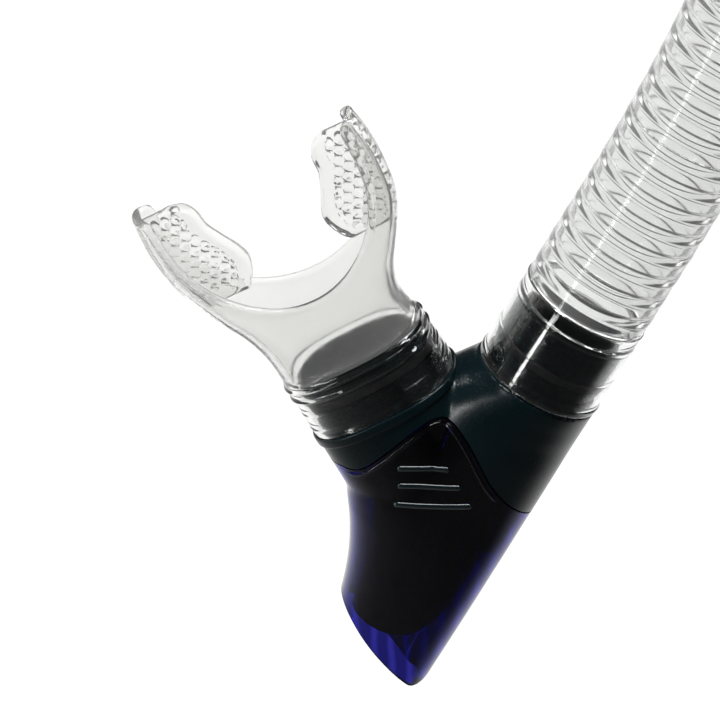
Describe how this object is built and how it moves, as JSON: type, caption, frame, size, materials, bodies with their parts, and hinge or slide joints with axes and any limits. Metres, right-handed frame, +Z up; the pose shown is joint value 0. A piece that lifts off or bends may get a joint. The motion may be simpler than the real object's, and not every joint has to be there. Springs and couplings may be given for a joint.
{
  "type": "snorkel tube",
  "caption": "Snorkel with a silicone bite mouthpiece, a Y housing with a purge valve, a flexible ribbed hose, a curved barrel, a splash guard and a mask-strap keeper.",
  "frame": {"origin": "middle of the strap buckle's outer face, where the mask strap bears", "axes": "+Z up along the lower tube, -X towards the wearer's mouth and head, the snorkel is symmetric about y = 0"},
  "size_m": [0.1242, 0.04, 0.4771],
  "materials": {
    "clear_silicone": "clear, satin",
    "clear_vinyl": "clear, glossy",
    "dark_teal_plastic": "satin",
    "black_plastic": "satin",
    "blue_tinted_plastic": "tinted, translucent, glossy",
    "black_rubber": "matte"
  },
  "bodies": {
    "upper": {"hose_connector": "dark_teal_plastic", "connector_seal": "black_rubber", "upper_cuff": "clear_vinyl", "barrel": "clear_vinyl", "guard_base": "dark_teal_plastic", "guard_baffle": "black_plastic", "guard_cap": "blue_tinted_plastic"},
    "hose": {"flex_hose": "clear_vinyl"},
    "cuff": {"lower_cuff": "clear_vinyl"},
    "housing": {"y_housing": "dark_teal_plastic", "mouth_seal": "black_rubber", "tube_seal": "black_rubber", "mouthpiece": "clear_silicone", "purge_chamber": "black_plastic", "purge_valve_seat": "black_plastic", "purge_cover": "blue_tinted_plastic"},
    "purge_flap": {"purge_valve_flap": "clear_silicone"},
    "keeper": {"keeper_clip": "dark_teal_plastic", "keeper_rivet": "black_plastic"},
    "buckle": {"strap_buckle": "dark_teal_plastic"}
  },
  "joints": [
    {"name": "hose_bend_upper", "type": "hinge", "parent": "upper", "child": "hose", "pos_m": [0.03712, 0, -0.09757], "axis": [0, 1, 0], "range_deg": [-15, 25], "stiffness_Nm_per_rad": 1.2, "deforming": ["flex_hose"]},
    {"name": "hose_bend_lower", "type": "hinge", "parent": "hose", "child": "cuff", "pos_m": [0.03974, 0, -0.15189], "axis": [0, 1, 0], "range_deg": [-15, 25], "stiffness_Nm_per_rad": 1.2},
    {"name": "housing_swivel", "type": "hinge", "parent": "cuff", "child": "housing", "pos_m": [0.03974, 0, -0.20339], "axis": [0, 0, 1], "range_deg": [-90, 90]},
    {"name": "purge_flap_lift", "type": "slide", "parent": "housing", "child": "purge_flap", "axis": [0, 0, -1], "range_m": [0, 0.0025], "stiffness_N_per_m": 20, "springref_m": -0.0005},
    {"name": "keeper_slide", "type": "slide", "parent": "upper", "child": "keeper", "axis": [-0.1392, 0, 0.9903], "range_m": [-0.018, 0.024]},
    {"name": "buckle_swivel", "type": "hinge", "parent": "keeper", "child": "buckle", "pos_m": [0.02357, 0, 0.00331], "axis": [-0.9903, 0, -0.1392], "range_deg": [-45, 45]}
  ],
  "couplings": [
    {"joint": "hose_bend_lower", "follows": "hose_bend_upper", "ratio": 1}
  ]
}
